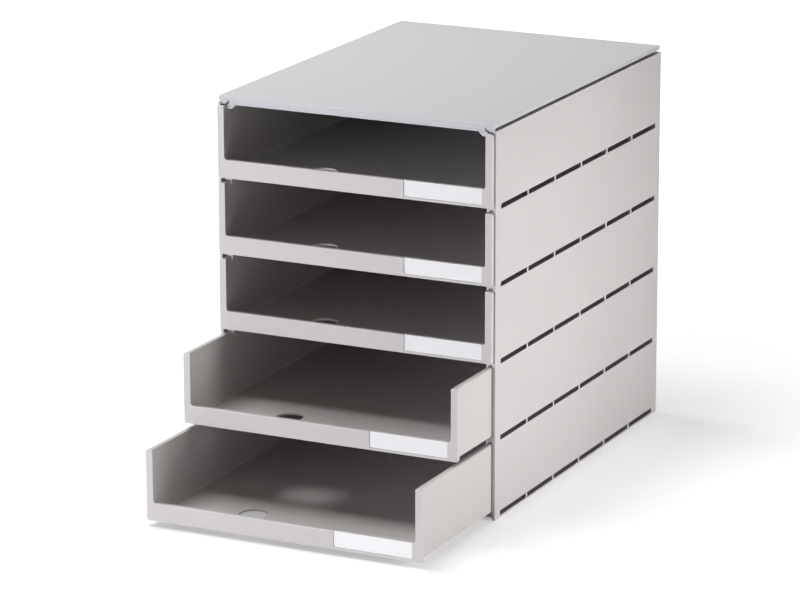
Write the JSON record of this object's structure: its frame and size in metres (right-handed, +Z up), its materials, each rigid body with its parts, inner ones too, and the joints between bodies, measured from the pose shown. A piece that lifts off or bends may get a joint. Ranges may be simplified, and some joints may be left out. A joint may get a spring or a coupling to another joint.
{
  "type": "letter tray stack with drawers",
  "caption": "Desktop letter tray stack: a slim box housing with open-front sliding drawers for A4 and C4 paper, each with a label on its low front lip.",
  "frame": {"origin": "centre of the closed box's footprint, on the table top", "axes": "+X to the right seen from the front, +Y to the back, +Z up; drawers slide out along -Y"},
  "size_m": [0.246, 0.46, 0.323],
  "materials": {
    "housing_plastic": "fine moulded texture, light warm grey",
    "top_plastic": "fine moulded texture, light grey",
    "drawer_plastic": "satin moulded, light cool grey",
    "label_paper": "uncoated white card",
    "clear_cover": "clear, glossy"
  },
  "bodies": {
    "housing": {"side_panel_left": "housing_plastic", "side_panel_right": "housing_plastic", "top_panel": "top_plastic", "base_panel": "housing_plastic", "back_panel": "housing_plastic"},
    "drawer_1": {"drawer_tray_1": "drawer_plastic", "label_card_1": "label_paper", "label_cover_1": "clear_cover"},
    "drawer_2": {"drawer_tray_2": "drawer_plastic", "label_card_2": "label_paper", "label_cover_2": "clear_cover"},
    "drawer_3": {"drawer_tray_3": "drawer_plastic", "label_card_3": "label_paper", "label_cover_3": "clear_cover"},
    "drawer_4": {"drawer_tray_4": "drawer_plastic", "label_card_4": "label_paper", "label_cover_4": "clear_cover"},
    "drawer_5": {"drawer_tray_5": "drawer_plastic", "label_card_5": "label_paper", "label_cover_5": "clear_cover"}
  },
  "joints": [
    {"name": "drawer_1_slide", "type": "slide", "parent": "housing", "child": "drawer_1", "axis": [0, -1, 0], "range_m": [0, 0.235]},
    {"name": "drawer_2_slide", "type": "slide", "parent": "housing", "child": "drawer_2", "axis": [0, -1, 0], "range_m": [0, 0.235]},
    {"name": "drawer_3_slide", "type": "slide", "parent": "housing", "child": "drawer_3", "axis": [0, -1, 0], "range_m": [0, 0.235]},
    {"name": "drawer_4_slide", "type": "slide", "parent": "housing", "child": "drawer_4", "axis": [0, -1, 0], "range_m": [-0.062, 0.173]},
    {"name": "drawer_5_slide", "type": "slide", "parent": "housing", "child": "drawer_5", "axis": [0, -1, 0], "range_m": [-0.125, 0.11]}
  ]
}
